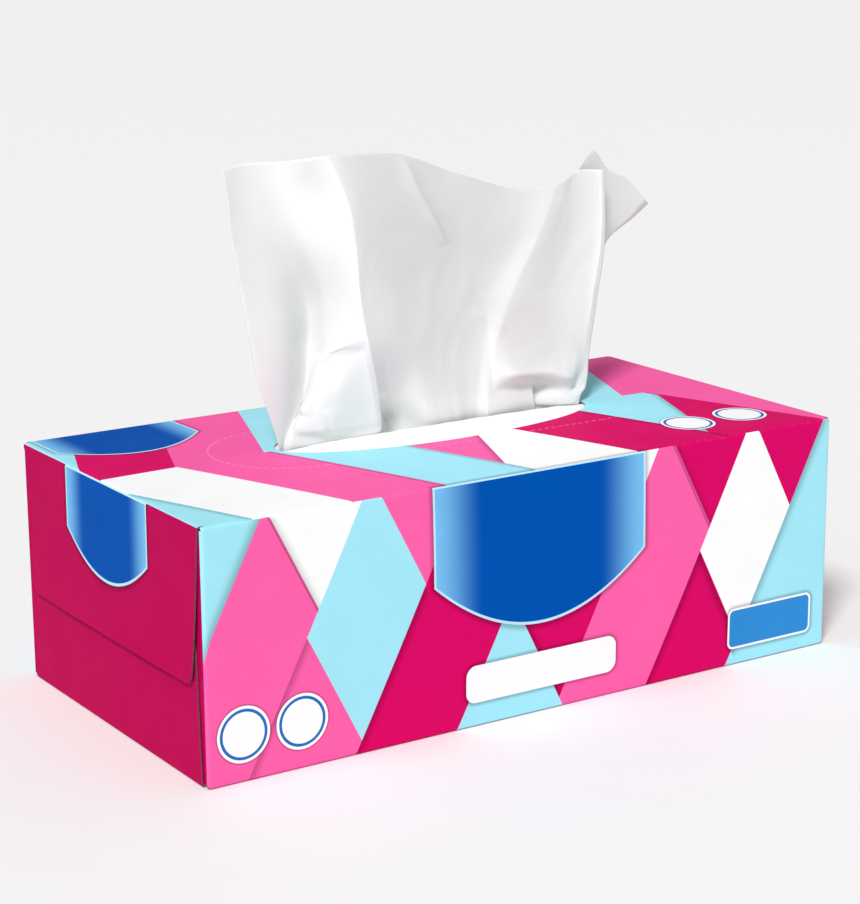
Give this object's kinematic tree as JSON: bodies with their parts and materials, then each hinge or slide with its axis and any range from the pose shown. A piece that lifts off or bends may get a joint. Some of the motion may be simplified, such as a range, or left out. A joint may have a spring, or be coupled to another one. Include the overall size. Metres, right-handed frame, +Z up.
{
  "type": "tissue box",
  "caption": "Flat pop-up facial tissue box: folded paperboard carton with an oval top opening, slit film window, tissue stack inside and a gathered tissue standing up through the slit.",
  "frame": {"origin": "centre of the carton's underside", "axes": "+X along the box, +Y to the panel with the glued seam, +Z up, the way the tissue is pulled"},
  "size_m": [0.225, 0.116, 0.163],
  "materials": {
    "printed_board": "satin",
    "film": "satin",
    "tissue": "matte"
  },
  "bodies": {
    "root": {"carton": "printed_board", "film_window": "film", "tissue_stack": "tissue", "top_tissue": "tissue"}
  },
  "joints": []
}
